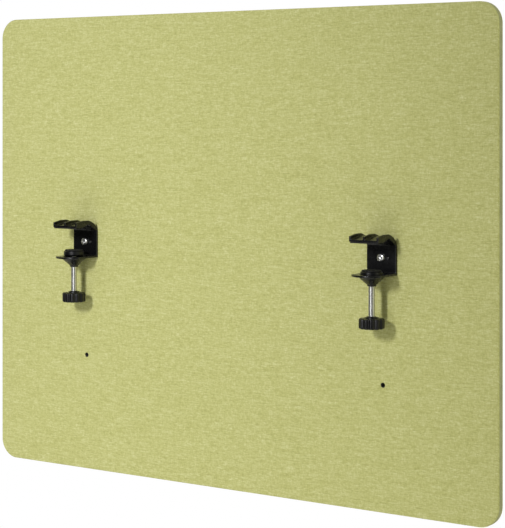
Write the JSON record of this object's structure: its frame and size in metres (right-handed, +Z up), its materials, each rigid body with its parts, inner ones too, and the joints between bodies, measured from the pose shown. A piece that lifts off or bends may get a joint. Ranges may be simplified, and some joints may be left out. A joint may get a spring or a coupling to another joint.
{
  "type": "desk privacy panel",
  "caption": "Rectangular cloth-covered privacy board with round corners, hung on a desk edge by screw clamps with ribbed C brackets, swivel pads and fluted knobs.",
  "frame": {"origin": "on the desk's edge: midway between the clamps, at the level of the desk top under the upper jaws' grips, in the plane of the back plates' front faces, which the desk's edge meets", "axes": "+X to the right of someone who faces the clamps; -Y from the board towards the desk; +Z up"},
  "size_m": [0.762, 0.062, 0.606],
  "materials": {
    "cloth": "yellow-green melange woven cloth",
    "edge_band": "grey-olive woven edge strip",
    "board": "dense pressed fibre",
    "black_casting": "black satin powder coat on a die casting",
    "black_plastic": "semi-gloss moulded black plastic",
    "rubber": "matt black rubber",
    "zinc": "bright zinc plate",
    "steel": "plain bright steel",
    "dark_steel": "dark phosphated steel"
  },
  "bodies": {
    "panel": {"core_board": "board", "front_cover": "cloth", "rear_cover": "cloth", "edge_band": "edge_band", "threaded_insert_upper_left": "dark_steel", "threaded_insert_upper_right": "dark_steel", "threaded_insert_lower_left": "dark_steel", "threaded_insert_lower_right": "dark_steel", "bracket_left": "black_casting", "mounting_screw_left": "zinc", "locating_pin_left": "dark_steel", "jaw_grip_left": "rubber", "bracket_right": "black_casting", "mounting_screw_right": "zinc", "locating_pin_right": "dark_steel", "jaw_grip_right": "rubber"},
    "pad_left": {"swivel_pad_left": "black_plastic", "pad_facing_left": "rubber"},
    "screw_left": {"spindle_left": "zinc", "knob_left": "black_plastic", "knob_nut_left": "steel", "retaining_ring_left": "steel"},
    "pad_right": {"swivel_pad_right": "black_plastic", "pad_facing_right": "rubber"},
    "screw_right": {"spindle_right": "zinc", "knob_right": "black_plastic", "knob_nut_right": "steel", "retaining_ring_right": "steel"}
  },
  "joints": [
    {"name": "pad_rise_left", "type": "slide", "parent": "panel", "child": "pad_left", "axis": [0, 0, 1], "range_m": [-0.0036, 0.0279]},
    {"name": "knob_turn_left", "type": "hinge", "parent": "pad_left", "child": "screw_left", "pos_m": [-0.2286, -0.0227, -0.08], "axis": [0, 0, 1], "range_deg": [-1036.8, 8035.2]},
    {"name": "pad_rise_right", "type": "slide", "parent": "panel", "child": "pad_right", "axis": [0, 0, 1], "range_m": [0, 0.0315]},
    {"name": "knob_turn_right", "type": "hinge", "parent": "pad_right", "child": "screw_right", "pos_m": [0.2286, -0.0227, -0.08], "axis": [0, 0, 1], "range_deg": [0, 9072]}
  ],
  "couplings": [
    {"joint": "knob_turn_left", "follows": "pad_rise_left", "rad_per_m": 5026.5},
    {"joint": "knob_turn_right", "follows": "pad_rise_right", "rad_per_m": 5026.5}
  ]
}
